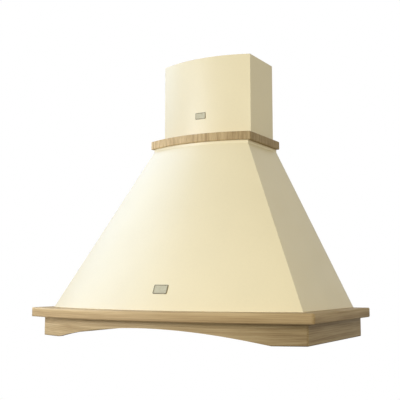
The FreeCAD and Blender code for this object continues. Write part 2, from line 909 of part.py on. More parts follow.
def make_collar():
    """duct collar with a stepped foot, a ledge under the flaps and holes for their pin;
    a clamp ring holds its foot on the top plate"""
    bore = "collar_bore / 2"
    wall = "collar_bore / 2 + collar_wall"
    ledge = "flap_rise - flap_sheet / 2"
    step = f"{wall} + collar_step"
    foot_edge = f"{step} + collar_lap"
    owner = turned("damper_collar", [
        (f"{bore} - ledge_breadth", f"{ledge} - ledge_height"), (bore, f"{ledge} - ledge_height"),
        (bore, "0"), (foot_edge, "0"), (foot_edge, "collar_foot"), (step, "collar_foot"),
        (step, "collar_base"), (wall, "collar_base"), (wall, "collar_height"),
        (bore, "collar_height"), (bore, ledge), (f"{bore} - ledge_breadth", ledge)],
        "0", "-collar_setback", plate_top)
    turned("collar_ring", [
        (f"{foot_edge} + collar_fit", "0"), (f"{wall} + collar_flange", "0"),
        (f"{wall} + collar_flange", "collar_base"), (f"{step} + collar_fit", "collar_base"),
        (f"{step} + collar_fit", "collar_foot"), (f"{foot_edge} + collar_fit", "collar_foot")],
        "0", "-collar_setback", plate_top)
    gap = new_sketch(owner, "XY_Plane", ledge)
    reach = "knuckle_wall + damper_pin / 2 + 2 * flap_fit"
    rectangle(gap, f"-({bore} - collar_wall / 2)", f"{bore} - collar_wall / 2",
              f"-({reach})", reach)
    pocket(owner, gap, "ledge_height")
    hole = new_sketch(owner, "YZ_Plane")
    circle(hole, "0", "flap_rise", "damper_pin / 2 + damper_fit")
    pocket(owner, hole)
    pin = new_cylinder("damper_pin", "damper_pin / 2", f"2 * ({wall})",
                       (f"-({wall})", "-collar_setback", "plate_top + flap_rise"), "right")
    as_node(pin, "damper_pin")


def make_flaps():
    """two half discs on knuckles that turn on the pin"""
    radius = "(collar_bore / 2 - flap_gap)"
    barrel = "(damper_pin / 2 + damper_fit + knuckle_wall)"
    edge = f"({barrel} + flap_fit)"
    half = f"sqrt({radius}^2 - {edge}^2)"
    for name, side, turn in (("front", "-1", RIGHT), ("rear", "1", LEFT)):
        owner = new_body(f"damper_flap_{name}", "0", "-collar_setback", "plate_top + flap_rise")
        disc = new_sketch(owner, "XY_Plane", "-flap_sheet / 2")
        trace(disc, [(f"-{half}", f"{side} * {edge}", radius, turn), (half, f"{side} * {edge}")])
        pad(owner, disc, "flap_sheet")
        start = f"{side} * knuckle_offset - knuckle_length / 2"
        knuckle = new_sketch(owner, "YZ_Plane", start)
        circle(knuckle, "0", "0", barrel)
        pad(owner, knuckle, "knuckle_length")
        web = new_sketch(owner, "YZ_Plane", start)
        rectangle(web, "0", f"{side} * ({edge} + flap_sheet)", "-flap_sheet / 2", "flap_sheet / 2")
        pad(owner, web, "knuckle_length")
        bore = new_sketch(owner, "YZ_Plane")
        circle(bore, "0", "0", "damper_pin / 2 + damper_fit")
        pocket(owner, bore)


def make_gland():
    turned("cable_gland", [
        ("gland_bore / 2", "-plate_sheet - gland_nut"), ("gland_head / 2", "-plate_sheet - gland_nut"),
        ("gland_head / 2", "-plate_sheet"), ("gland_thread / 2", "-plate_sheet"),
        ("gland_thread / 2", "0"), ("gland_head / 2", "0"), ("gland_head / 2", "gland_height / 2"),
        ("gland_thread / 2", "gland_height"), ("gland_bore / 2", "gland_height")],
        "gland_offset", "-gland_setback", plate_top)


# Underside

FILTER_MIDDLE = "(filter_mid + filter_width) / 2"
derive("filter_depth", "moulding_depth - filter_setback - filter_strip")
derive("lamp_offset", "moulding_half - lamp_margin")
derive("lamp_setback", "moulding_depth - lamp_inset")
derive("control_setback", "moulding_depth - control_inset")
OPENING_REAR = derive("opening_rear", "-(filter_setback - filter_gap)")
OPENING_FRONT = derive("opening_front", "-(filter_setback + filter_depth + filter_gap)")


def make_panel():
    owner = new_body("underside_panel")
    drawing = new_sketch(owner, "XY_Plane", panel_foot)
    trace(drawing, d_outline(panel, "-back_sheet"))
    pad(owner, drawing, "panel_sheet")
    near = "(filter_mid / 2 - filter_gap)"
    far = "(filter_mid / 2 + filter_width + filter_gap)"
    slot_half = "control_width / 2 - control_edge"
    slot_deep = "(control_breadth / 2 - control_edge)"
    holes = new_sketch(owner, "XY_Plane", foot)
    rims = new_sketch(owner, "XY_Plane", foot)
    for name, side in SIDES:
        rectangle(holes, f"{side} * {near}", f"{side} * {far}", OPENING_FRONT, OPENING_REAR)
        circle(holes, f"{side} * lamp_offset", "-lamp_setback", "lamp_barrel / 2 + lamp_fit")
        trace(rims, [
            (f"{side} * {near}", OPENING_REAR), (f"{side} * {near}", OPENING_FRONT),
            (f"{side} * {far}", OPENING_FRONT), (f"{side} * {far}", OPENING_REAR),
            (f"{side} * ({far} + panel_sheet)", OPENING_REAR),
            (f"{side} * ({far} + panel_sheet)", "opening_front - panel_sheet"),
            (f"{side} * ({near} - panel_sheet)", "opening_front - panel_sheet"),
            (f"{side} * ({near} - panel_sheet)", OPENING_REAR)])
    rectangle(holes, f"-({slot_half})", slot_half, f"-control_setback - {slot_deep}",
              f"-control_setback + {slot_deep}")
    pocket(owner, holes)
    pad(owner, rims, "panel_rim")
    fold = new_sketch(owner, "XY_Plane", foot)
    fold_half = "(moulding_in_half - panel_gap)"
    rectangle(fold, f"-{fold_half}", fold_half, "-back_sheet - panel_sheet", "-back_sheet")
    pad(owner, fold, "panel_fold")
    drill(owner, PANEL_FRONT + PANEL_SIDE["left"] + PANEL_SIDE["right"], foot, "panel_sheet", False)


def filter_x(side, offset):
    """a place across, measured outward from the middle of one filter"""
    return f"{side} * ({FILTER_MIDDLE} + ({offset}))"


HANDLE_PIN_Y = derive(
    "handle_pin_y",
    "-(filter_setback + filter_depth - recess_edge - recess_gap - handle_depth + handle_tail)")
HANDLE_PIN_Z = derive("handle_pin_z", "panel_foot + handle_lift + handle_sheet / 2")


def make_filter_frame(name, side):
    owner = new_body(f"filter_frame_{name}")
    half = "filter_width / 2"
    front = "-(filter_setback + filter_depth)"
    drawing = new_sketch(owner, "XY_Plane", panel_foot)
    rectangle(drawing, filter_x(side, f"-{half}"), filter_x(side, half), front, "-filter_setback")
    rectangle(drawing, filter_x(side, f"filter_border - {half}"),
              filter_x(side, f"{half} - filter_border"),
              f"{front} + filter_front", "-filter_setback - filter_border")
    pad(owner, drawing, "filter_height")
    tabs = new_sketch(owner, "XY_Plane", "foot + tab_lift")
    for way in ("-1", "1"):
        middle = f"{way} * ({half} - tab_inset)"
        rectangle(tabs, filter_x(side, f"{middle} - tab_width / 2"),
                  filter_x(side, f"{middle} + tab_width / 2"),
                  "-filter_setback", "opening_rear + tab_reach")
    pad(owner, tabs, "panel_sheet")
    recess = new_sketch(owner, "XY_Plane", panel_foot)
    room = "handle_width / 2 + recess_gap"
    rectangle(recess, filter_x(side, f"-({room})"), filter_x(side, room),
              f"{front} + recess_edge", "handle_pin_y + handle_tail + recess_gap")
    pocket(owner, recess, "recess_deep", back=True)
    hole = new_sketch(owner, "YZ_Plane", filter_x(side, "0"))
    circle(hole, HANDLE_PIN_Y, HANDLE_PIN_Z, "handle_pin / 2 + handle_fit")
    pocket(owner, hole, "handle_width + 2 * (recess_gap + handle_reach)", both=True)


def make_filter_mesh(name, side):
    owner = new_body(f"filter_mesh_{name}")
    half = "filter_width / 2"
    drawing = new_sketch(owner, "XY_Plane", "panel_foot + mesh_lift")
    rectangle(drawing, filter_x(side, f"filter_border - {half}"),
              filter_x(side, f"{half} - filter_border"),
              "filter_front - filter_setback - filter_depth", "-filter_setback - filter_border")
    pad(owner, drawing, "mesh_height")


def make_filter_handle(name, side):
    """a flat ring handle that folds into the recess of its filter frame"""
    owner = new_body(f"filter_handle_{name}")
    out = "handle_width / 2"
    bar = f"{out} - handle_bar"
    rear = "handle_pin_y + handle_tail"
    front = f"{rear} - handle_depth"
    drawing = new_sketch(owner, "XY_Plane", "panel_foot + handle_lift")
    trace(drawing, [
        (filter_x(side, f"-({out})"), rear), (filter_x(side, f"-({out})"), front),
        (filter_x(side, out), front), (filter_x(side, out), rear), (filter_x(side, bar), rear),
        (filter_x(side, bar), f"{front} + handle_bar"),
        (filter_x(side, f"-({bar})"), f"{front} + handle_bar"),
        (filter_x(side, f"-({bar})"), rear)])
    pad(owner, drawing, "handle_sheet")
    for way in ("-1", "1"):
        stub = new_sketch(owner, "YZ_Plane", filter_x(side, f"{way} * ({out})"))
        circle(stub, HANDLE_PIN_Y, HANDLE_PIN_Z, "handle_pin / 2")
        pad(owner, stub, "recess_gap + handle_reach", back=(way == "-1") == (side == "1"))


def make_filter_catch(name, side):
    """a magnet block on the panel that holds the front of its filter"""
    owner = new_body(f"filter_magnet_{name}")
    rest = "filter_height - panel_sheet + catch_gap"
    drawing = new_sketch(owner, "YZ_Plane", filter_x(side, "0"))
    back = "opening_front - panel_sheet"
    trace(drawing, [
        (back, foot), (back, f"foot + {rest}"), ("opening_front + catch_lap", f"foot + {rest}"),
        ("opening_front + catch_lap", f"foot + {rest} + catch_height"),
        (f"{back} - catch_foot", f"foot + {rest} + catch_height"), (f"{back} - catch_foot", foot)])
    pad(owner, drawing, "catch_width", both=True)
    return owner


def make_lamp(name, side):
    across = f"{side} * lamp_offset"
    deep = "-lamp_setback"
    outer = "lamp_barrel / 2"
    inner = "lamp_barrel / 2 - lamp_wall"
    turned(f"lamp_ring_{name}", [
        (f"{inner} - lamp_lip", "-lamp_wall"), (f"{outer} + lamp_rim", "-lamp_wall"),
        (f"{outer} + lamp_rim", "0"), (outer, "0"), (outer, "lamp_rise"), (inner, "lamp_rise"),
        (inner, "lamp_seat - lamp_wall"), (f"{inner} - lamp_lip", "lamp_seat - lamp_wall")],
        across, deep, panel_foot)
    lens = new_cylinder(f"lamp_lens_{name}", f"{inner} - lamp_fit", "lens_sheet",
                        (across, deep, "panel_foot + lamp_seat - lamp_wall"))
    as_node(lens, f"lamp_lens_{name}")
    low = "lamp_seat - lamp_wall + lens_sheet + lamp_fit"
    turned(f"lamp_module_{name}", [
        ("0", low), (f"{inner} - lamp_fit", low), (f"{inner} - lamp_fit", "lamp_rise"),
        (outer, "lamp_rise"), (outer, "lamp_rise + module_crown"),
        ("module_body / 2", "lamp_rise + module_crown"), ("module_body / 2", "module_height"),
        ("0", "module_height")], across, deep, panel_foot)


def button_x(index):
    return f"{index - (len(BUTTON_NAMES) - 1) / 2} * button_pitch"


def make_control():
    owner = new_body("control_bezel")
    deep = "-control_setback"
    drawing = new_sketch(owner, "XY_Plane", "panel_foot - control_sheet")
    rounded(drawing, "-control_width / 2", "control_width / 2",
            f"{deep} - control_breadth / 2", f"{deep} + control_breadth / 2", "control_round")
    pad(owner, drawing, "control_sheet")
    half = derive("neck_block_half", "control_width / 2 - control_edge - panel_gap")
    thin = derive("neck_block_thin", "control_breadth / 2 - control_edge - panel_gap")
    block = new_sketch(owner, "XY_Plane", panel_foot)
    rectangle(block, f"-{half}", half, f"{deep} - {thin}", f"{deep} + {thin}")
    pad(owner, block, "control_neck")
    holes = new_sketch(owner, "XY_Plane", panel_foot)
    for index in range(len(BUTTON_NAMES)):
        circle(holes, button_x(index), deep, "button_width / 2 + button_gap")
    pocket(owner, holes)
    body = new_body("switch_body")
    low = "panel_foot + control_neck"
    drawing = new_sketch(body, "XY_Plane", low)
    rectangle(drawing, f"-{half}", half, f"{deep} - {thin}", f"{deep} + {thin}")
    pad(body, drawing, "switch_height")
    room = new_sketch(body, "XY_Plane", low)
    rectangle(room, f"-({half} - switch_wall)", f"{half} - switch_wall",
              f"{deep} - {thin} + switch_wall", f"{deep} + {thin} - switch_wall")
    pocket(body, room, "switch_room", back=True)


def make_buttons():
    """a cap with an eased rim and a collar that stops it on top of the bezel's block"""
    cap = "button_width / 2"
    tip = "-control_sheet - button_proud"
    stop = "control_neck + button_gap"
    for index, name in enumerate(BUTTON_NAMES):
        turned(name, [
            ("0", tip), (f"{cap} - button_ease", tip, "button_ease", RIGHT),
            (cap, f"{tip} + button_ease"), (cap, stop), (f"{cap} + button_stop", stop),
            (f"{cap} + button_stop", f"{stop} + button_collar"), ("0", f"{stop} + button_collar")],
            button_x(index), "-control_setback", panel_foot)


# Blower

derive("chute_rear", "-(blower_setback - blower_radius)")
CHUTE_FRONT = derive("chute_front", "-2 * collar_setback - chute_rear")


def make_housing(name, side):
    """half of the drum, half of the chute and a lug for the bracket"""
    width = "blower_half"
    start = "0" if side == "1" else "-blower_half"
    axis = ("-blower_setback", blower_level)
    drum = new_cylinder("drum", "blower_radius", width, (start,) + axis, "right")
    chute = new_box("chute", ("0" if side == "1" else "-chute_half", CHUTE_FRONT, blower_level),
                    ("chute_half", "chute_rear - chute_front", "plate_foot - blower_level"))
    lug = new_box("lug", ("lug_near" if side == "1" else "-lug_near - lug_width", "-lug_root",
                          "blower_level - lug_height / 2"),
                  ("lug_width", "lug_root - lug_face", "lug_height"))
    outside = joined(f"outside_{name}", [drum, chute, lug])
    wall = "blower_sheet"
    open_start = "-overrun" if side == "1" else f"-blower_half + {wall}"
    hollow = new_cylinder("hollow", f"blower_radius - {wall}", f"{width} - {wall} + overrun",
                          (open_start,) + axis, "right")
    shaft_low = "-overrun" if side == "1" else f"-chute_half + {wall}"
    shaft = new_box("chute_hollow", (shaft_low, f"chute_front + {wall}", blower_level),
                    (f"chute_half - {wall} + overrun", f"chute_rear - chute_front - 2 * {wall}",
                     "plate_foot - blower_level + overrun"))
    inlet_start = f"blower_half - {wall} - overrun" if side == "1" else "-blower_half - overrun"
    inlet = new_cylinder("inlet", "inlet_bore / 2", f"{wall} + 2 * overrun",
                         (inlet_start,) + axis, "right")
    inside = joined(f"inside_{name}", [hollow, shaft, inlet])
    as_node(without(f"blower_housing_{name}", outside, inside), f"blower_housing_{name}")


def outward_sketch(owner, side, offset):
    return new_sketch(owner, "YZ_Plane", f"{side} * ({offset})")


def make_guard(name, side):
    owner = new_body(f"inlet_guard_{name}", "0", "-blower_setback", blower_level)
    inward = side == "-1"
    ring = outward_sketch(owner, side, "blower_half")
    circle(ring, "0", "0", "inlet_bore / 2 + guard_breadth")
    circle(ring, "0", "0", "inlet_bore / 2 - guard_breadth")
    pad(owner, ring, "guard_sheet", back=inward)
    hub = outward_sketch(owner, side, "blower_half")
    circle(hub, "0", "0", "guard_hub")
    pad(owner, hub, "guard_sheet", back=inward)
    spoke = outward_sketch(owner, side, "blower_half")
    rectangle(spoke, "-guard_bar / 2", "guard_bar / 2", "guard_hub / 2", "inlet_bore / 2")
    polar(owner, pad(owner, spoke, "guard_sheet", back=inward), GUARD_SPOKES)
    return owner


def make_motor():
    owner = new_body("motor_body", "0", "-blower_setback", blower_level)
    half = "motor_length / 2"
    rim = "motor_width / 2"
    bore = "shaft_width / 2 + shaft_fit"
    face = "motor_plate_sheet / 2"
    drawing = new_sketch(owner, "XY_Plane")
    trace(drawing, [
        (f"-{half}", bore), (half, bore), (half, f"{rim} - motor_ease"),
        (f"{half} - motor_ease", rim), (f"{face} + motor_flange_sheet", rim),
        (f"{face} + motor_flange_sheet", f"{rim} + motor_flange"), (face, f"{rim} + motor_flange"),
        (face, rim), (f"motor_ease - {half}", rim), (f"-{half}", f"{rim} - motor_ease")])
    revolve(owner, drawing, "H_Axis")
    holder = new_body("motor_plate", "0", "-blower_setback", blower_level)
    disc = new_sketch(holder, "YZ_Plane")
    circle(disc, "0", "0", "blower_radius - blower_sheet - motor_fit")
    circle(disc, "0", "0", "motor_width / 2 + motor_fit")
    pad(holder, disc, "motor_plate_sheet", both=True)
    window = new_sketch(holder, "YZ_Plane")
    circle(window, "window_circle / 2 * sqrt(2) / 2", "window_circle / 2 * sqrt(2) / 2",
           "window_width / 2")
    polar(holder, pocket(holder, window), MOTOR_WINDOWS)
    shaft = new_cylinder("motor_shaft", "shaft_width / 2", "shaft_length",
                         ("-shaft_length / 2", "-blower_setback", blower_level), "right")
    as_node(shaft, "motor_shaft")


def make_impeller(name, side):
    """back disc, boss, a ring of leaning blades and an end ring"""
    owner = new_body(f"impeller_{name}", "0", "-blower_setback", blower_level)
    inward = side == "-1"
    disc = outward_sketch(owner, side, "fan_inner")
    circle(disc, "0", "0", "fan_radius")
    circle(disc, "0", "0", "shaft_width / 2")
    pad(owner, disc, "fan_sheet", back=inward)
    boss = outward_sketch(owner, side, "fan_inner")
    circle(boss, "0", "0", "fan_boss / 2")
    circle(boss, "0", "0", "shaft_width / 2")
    pad(owner, boss, "fan_boss_length", back=inward)
    ring = outward_sketch(owner, side, "fan_inner + fan_width - fan_sheet")
    circle(ring, "0", "0", "fan_radius")
    circle(ring, "0", "0", "fan_radius - fan_ring")
    pad(owner, ring, "fan_sheet", back=inward)
    blade = outward_sketch(owner, side, "fan_inner")
    trace(blade, [("-blade_sheet / 2", "fan_radius - fan_ring + blade_inset"),
                  ("blade_sheet / 2", "fan_radius - fan_ring + blade_inset"),
                  ("blade_lean + blade_sheet / 2", "fan_radius - blade_inset"),
                  ("blade_lean - blade_sheet / 2", "fan_radius - blade_inset")])
    polar(owner, pad(owner, blade, "fan_width", back=inward), FAN_BLADES)


BLOWER_RISES = ("lug_height / 2 + (hanger_tall - lug_height) / 4",
                "lug_height / 2 + 3 * (hanger_tall - lug_height) / 4")
BLOWER_PLACES = [(f"{side} * (lug_near + lug_width / 2)", f"blower_level + {rise}")
                 for name, side in SIDES for rise in BLOWER_RISES]


def make_blower_bracket(name, side):
    """a folded strip from the back panel to the lug of the housing"""
    owner = new_body(f"blower_bracket_{name}")
    low = "blower_level - lug_height / 2"
    drawing = new_sketch(owner, "YZ_Plane", f"{side} * (lug_near + lug_width / 2)")
    trace(drawing, [
        ("-back_sheet", low), ("-back_sheet", f"{low} + hanger_tall"),
        ("-back_sheet - hanger_bend", f"{low} + hanger_tall"),
        ("-back_sheet - hanger_bend", f"{low} + hanger_bend"),
        ("hanger_bend - lug_face", f"{low} + hanger_bend"),
        ("hanger_bend - lug_face", f"{low} + lug_height"), ("-lug_face", f"{low} + lug_height"),
        ("-lug_face", low)])
    pad(owner, drawing, "lug_width", both=True)
    holes = new_sketch(owner, "XZ_Plane")
    for across, up in BLOWER_PLACES:
        if across.startswith(f"{side} *"):
            circle(holes, across, up, "screw_shank / 2 + screw_fit")
    pocket(owner, holes, "back_sheet + hanger_bend + hanger_bend", back=True)
    return owner


BOX_TOP = derive("box_top", "box_rise - hook_rise + box_height / 2")
BOX_SIDE = derive(
    "box_side", "skirt_half - (skirt_half - neck_half) * (box_top - moulding_top)"
    " / (neck_foot - moulding_top) - dome_sheet - dome_lip - box_margin")


def make_terminal_box():
    """beside the blower, clear of the dome's rear lip where the dome is narrowest at the box"""
    owner = new_body("terminal_box")
    near = f"-{BOX_SIDE}"
    far = f"box_width - {BOX_SIDE}"
    low = f"{BOX_TOP} - box_height"
    high = BOX_TOP
    drawing = new_sketch(owner, "XZ_Plane", "back_sheet")
    rectangle(drawing, near, far, low, high)
    pad(owner, drawing, "box_depth")
    room = new_sketch(owner, "XZ_Plane", "back_sheet + box_depth")
    rectangle(room, f"{near} + box_wall", f"{far} - box_wall",
              f"{low} + box_wall", f"{high} - box_wall")
    pocket(owner, room, "box_depth - box_wall")
    lead = new_sketch(owner, "XY_Plane", high)
    circle(lead, f"{far} - block_offset", "-back_sheet - box_depth / 2", "box_lead / 2")
    pocket(owner, lead, "box_wall")
    cover = new_body("terminal_cover")
    drawing = new_sketch(cover, "XZ_Plane", "back_sheet + box_depth")
    rectangle(drawing, near, far, low, high)
    pad(cover, drawing, "box_wall")
    floor = f"{low} + box_wall"
    wall = "back_sheet + box_wall"
    capacitor = new_cylinder("capacitor", "capacitor_width / 2", "capacitor_length",
                             (f"{near} + capacitor_offset",
                              f"-({wall} + capacitor_width / 2 + clip_gap)", floor))
    as_node(capacitor, "capacitor")
    block = new_box("terminal_block",
                    (f"{far} - block_offset - block_width / 2", f"-({wall} + block_depth)",
                     f"{floor} + block_offset"), ("block_width", "block_depth", "block_height"))
    as_node(block, "terminal_block")


# Screws

def screw_up(across, deep, level, length):
    """head under a level, shank upward"""
    head = new_cylinder("head", "screw_head / 2", "screw_cap", (across, deep, f"{level} - screw_cap"))
    shank = new_cylinder("shank", "screw_shank / 2", length, (across, deep, level))
    return [head, shank]


def screw_down(across, deep, level, length):
    """head on a level, shank downward"""
    head = new_cylinder("head", "screw_head / 2", "screw_cap", (across, deep, level))
    shank = new_cylinder("shank", "screw_shank / 2", length, (across, deep, f"{level} - {length}"))
    return [head, shank]


def screw_back(across, up, depth, length):
    """head in front of a face that lies depth before the wall, shank toward the wall"""
    head = new_cylinder("head", "screw_head / 2", "screw_cap", (across, f"-({depth})", up), "front")
    shank = new_cylinder("shank", "screw_shank / 2", length,
                         (across, f"-({depth}) + {length}", up), "front")
    return [head, shank]


def make_screws():
    top = f"{moulding_top} + dome_sheet"
    pieces = []
    for across, deep in DOME_FRONT + DOME_SIDE["left"] + DOME_SIDE["right"]:
        pieces += screw_down(across, deep, top, "(screw_deep + dome_sheet - screw_cap)")
    for across, deep in PANEL_FRONT + PANEL_SIDE["left"] + PANEL_SIDE["right"]:
        pieces += screw_up(across, deep, panel_foot, "screw_deep_panel")
    as_node(joined("wood_screws", pieces), "wood_screws")
    pieces = []
    for across, deep in CLIP_PLACES:
        pieces += screw_down(across, deep, "dome_top + clip_sheet",
                             "(clip_sheet + dome_sheet + plate_sheet + screw_cap)")
    for across, up in BLOWER_PLACES:
        pieces += screw_back(across, up, "back_sheet + hanger_bend", "(hanger_bend + back_sheet)")
    as_node(joined("sheet_screws", pieces), "sheet_screws")


# Blank plates on the front

def framed_plate(owner, kind, offset, middle, level):
    """a plate with round corners and a sunk field inside a border"""
    near = f"{middle} - {kind}_width / 2"
    far = f"{middle} + {kind}_width / 2"
    low = f"{level} - {kind}_height / 2"
    high = f"{level} + {kind}_height / 2"
    drawing = new_sketch(owner, "XZ_Plane", offset)
    rounded(drawing, near, far, low, high, f"{kind}_round")
    pad(owner, drawing, f"{kind}_sheet")
    field = new_sketch(owner, "XZ_Plane", f"{offset} + {kind}_sheet")
    border = f"{kind}_border"
    rectangle(field, f"{near} + {border}", f"{far} - {border}",
              f"{low} + {border}", f"{high} - {border}")
    pocket(owner, field, f"{kind}_recess")


def make_plates():
    """the chimney's plate stands upright; the dome's plate leans and turns with the dome"""
    badge = new_body("chimney_badge")
    framed_plate(badge, "mark", "-chimney_front", "mark_offset", "dome_top + mark_rise")
    share = derive("plaque_share", "plaque_rise / (dome_rise - neck_height)")
    radius = derive("plaque_radius", "skirt_radius + plaque_share * (neck_radius - skirt_radius)")
    line = derive("plaque_line", "skirt_front + plaque_share * (neck_front - skirt_front)")
    bend = derive("plaque_bend", f"{radius} - sqrt({radius}^2 - plaque_offset^2)")
    plaque = new_body("dome_badge", "plaque_offset", f"{line} + {bend}",
                      "moulding_top + plaque_rise")
    lean = math.atan2(number("neck_front - skirt_front"), number("neck_foot - moulding_top"))
    turn = math.asin(number(f"plaque_offset / {radius}"))
    upright = FreeCAD.Rotation(FreeCAD.Vector(1, 0, 0), -math.degrees(lean))
    swing = FreeCAD.Rotation(FreeCAD.Vector(0, 0, 1), math.degrees(turn))
    plaque.Placement.Rotation = swing.multiply(upright)
    framed_plate(plaque, "plaque", "0", "0", "0")


def check_all():
    """stops at the first failed object or empty shape"""
    doc.recompute()
    for thing in doc.Objects:
        if "Invalid" in thing.State or "Error" in thing.State:
            raise RuntimeError(f"{thing.Name} failed")
    for node in nodes:
        if node.Shape.isNull() or not node.Shape.isValid() or not node.Shape.Solids:
            raise RuntimeError(f"{node.Label} has no valid solid")


make_moulding()
make_valance()
make_band()
make_dome()
make_cover("chimney_lower", chimney, chimney_in, "0", "dome_top", "chimney_top")
cut_louvres(make_cover("chimney_upper", upper, upper_in, "-(chimney_sheet + clip_gap)",
                       "upper_foot", "upper_top"))
make_upper_bracket()
make_clips()
make_back_panel()
make_hanging_plates()
make_top_plate()
make_collar()
make_flaps()
make_gland()
make_panel()
for each_name, each_side in SIDES:
    make_filter_frame(each_name, each_side)
    make_filter_mesh(each_name, each_side)
    make_filter_handle(each_name, each_side)
    make_lamp(each_name, each_side)
    make_housing(each_name, each_side)
    make_impeller(each_name, each_side)
group("filter_catches", [make_filter_catch(name, side) for name, side in SIDES])
group("inlet_guards", [make_guard(name, side) for name, side in SIDES])
group("blower_brackets", [make_blower_bracket(name, side) for name, side in SIDES])
make_motor()
make_control()
make_buttons()
make_terminal_box()
make_screws()
make_plates()
check_all()

os.makedirs("parts", exist_ok=True)
for node in nodes:
    node.Shape.exportStep(f"parts/{node.Label}.step")
print(len(nodes), "nodes written")
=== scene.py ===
import json
import math

import bpy
from mathutils import Matrix, Vector


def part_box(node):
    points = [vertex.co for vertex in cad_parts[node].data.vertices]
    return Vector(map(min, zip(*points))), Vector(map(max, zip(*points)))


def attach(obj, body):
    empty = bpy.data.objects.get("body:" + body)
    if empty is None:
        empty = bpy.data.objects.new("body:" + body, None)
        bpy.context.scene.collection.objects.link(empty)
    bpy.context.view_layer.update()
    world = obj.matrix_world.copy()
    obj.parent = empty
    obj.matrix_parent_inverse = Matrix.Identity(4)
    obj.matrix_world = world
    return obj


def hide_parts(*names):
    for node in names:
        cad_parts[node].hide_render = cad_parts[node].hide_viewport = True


# A wall range hood in cream enamel and ash, dressed round its frame, in metres

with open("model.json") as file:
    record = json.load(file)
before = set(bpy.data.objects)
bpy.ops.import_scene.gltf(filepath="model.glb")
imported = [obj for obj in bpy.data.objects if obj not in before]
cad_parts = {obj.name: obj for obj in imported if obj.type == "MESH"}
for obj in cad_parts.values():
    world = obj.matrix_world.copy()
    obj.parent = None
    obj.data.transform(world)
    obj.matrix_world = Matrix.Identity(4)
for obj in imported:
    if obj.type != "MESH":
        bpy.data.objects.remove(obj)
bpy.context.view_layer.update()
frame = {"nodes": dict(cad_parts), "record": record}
nodes = frame["nodes"]

WHITE = (1, 1, 1)


# Node helpers

class Nodes:
    """a node tree; most methods add a node and return the socket that the next one takes"""

    def __init__(self, tree):
        self.tree = tree
        self.tree.nodes.clear()

    def feed(self, socket, value):
        """link the socket to another one, or set it to a plain value"""
        if isinstance(value, bpy.types.NodeSocket):
            self.tree.links.new(value, socket)
        elif socket.type == "RGBA":
            socket.default_value = (*value, 1)
        else:
            socket.default_value = value

    def node(self, kind, inputs, **settings):
        made = self.tree.nodes.new("ShaderNode" + kind)
        for label, value in settings.items():
            setattr(made, label, value)
        for key, value in inputs.items():
            self.feed(made.inputs[key], value)
        return made

    def place(self, scale=(1, 1, 1)):
        """the row frame's metres, scaled; a node's object sits at the origin"""
        source = self.node("TexCoord", {}).outputs["Object"]
        return self.node("Mapping", {"Vector": source, "Scale": scale}).outputs[0]

    def axes(self, vector):
        return self.node("SeparateXYZ", {"Vector": vector}).outputs

    def noise(self, vector, per_metre, detail, roughness=0.5):
        return self.node("TexNoise", {"Vector": vector, "Scale": per_metre, "Detail": detail,
                                      "Roughness": roughness}).outputs["Fac"]

    def cells(self, vector, per_metre, output="Distance", randomness=1.0):
        return self.node("TexVoronoi", {"Vector": vector, "Scale": per_metre,
                                        "Randomness": randomness}).outputs[output]

    def math(self, operation, *values):
        return self.node("Math", dict(enumerate(values)), operation=operation).outputs[0]

    def total(self, *shares):
        """the sum of values, each times its share"""
        parts = [self.math("MULTIPLY", value, share) for value, share in shares]
        added = parts[0]
        for part in parts[1:]:
            added = self.math("ADD", added, part)
        return added

    def span(self, value, given, wanted=(0.0, 1.0)):
        """the value carried from one pair of levels to another, and held between them"""
        return self.node("MapRange", {"Value": value, "From Min": given[0], "From Max": given[1],
                                      "To Min": wanted[0], "To Max": wanted[1]}).outputs[0]

    def ramp(self, value, stops):
        made = self.node("ValToRGB", {"Fac": value})
        ramp = made.color_ramp
        while len(ramp.elements) < len(stops):
            ramp.elements.new(0.5)
        for element, (place, colour) in zip(ramp.elements, stops):
            element.position = place
            element.color = (*colour, 1)
        return made.outputs[0]

    def blend(self, factor, first, second, mode="MIX"):
        made = self.node("Mix", {"Factor": factor}, data_type="RGBA", blend_type=mode)
        sockets = {socket.identifier: socket for socket in (*made.inputs, *made.outputs)}
        self.feed(sockets["A_Color"], first)
        self.feed(sockets["B_Color"], second)
        return sockets["Result_Color"]

    def bump(self, height, strength, distance):
        return self.node("Bump", {"Height": height, "Strength": strength,
                                  "Distance": distance}).outputs[0]


class Finish(Nodes):
    """a material with one principled shader; the constants are its plain sockets"""

    def __init__(self, name, **constants):
        self.material = bpy.data.materials.new(name)
        self.material.use_nodes = True
        super().__init__(self.material.node_tree)
        self.shader = self.node("BsdfPrincipled", {})
        self.output = self.node("OutputMaterial", {"Surface": self.shader.outputs[0]})
        self.set(**constants)

    def set(self, **sockets):
        """set or link the shader's sockets, and return the material"""
        for label, value in sockets.items():
            self.feed(self.shader.inputs[label.replace("_", " ")], value)
        return self.material


def shade(colour, share):
    """the colour with each channel times the share, none above white"""
    return tuple(min(channel * share, 1) for channel in colour)


def grey(level):
    return (level, level, level)


# Finishes, with relief in metres

BRUSH_LINES_ALONG = 4
BRUSH_LINES_ACROSS = 900


def paint(name, colour, rough, peel=0.05):
    """enamel or lacquer: faint mottling, a fine peel and patches of uneven gloss"""
    made = Finish(name, IOR=1.4)
    spot = made.place()
    cloud = made.noise(spot, per_metre=5.0, detail=2.0)
    grain = made.noise(spot, per_metre=160.0, detail=3.0, roughness=0.6)
    tint = made.ramp(made.total((cloud, 0.7), (grain, 0.3)),
                     [(0.3, shade(colour, 0.96)), (0.7, shade(colour, 1.02))])
    gloss = made.span(made.noise(spot, per_metre=18.0, detail=3.0), (0.3, 0.7),
                      (rough - 0.03, rough + 0.03))
    skin = made.noise(spot, per_metre=650.0, detail=2.0)
    relief = made.bump(skin, strength=peel, distance=0.0004)
    return made.set(Base_Color=tint, Roughness=gloss, Normal=relief)


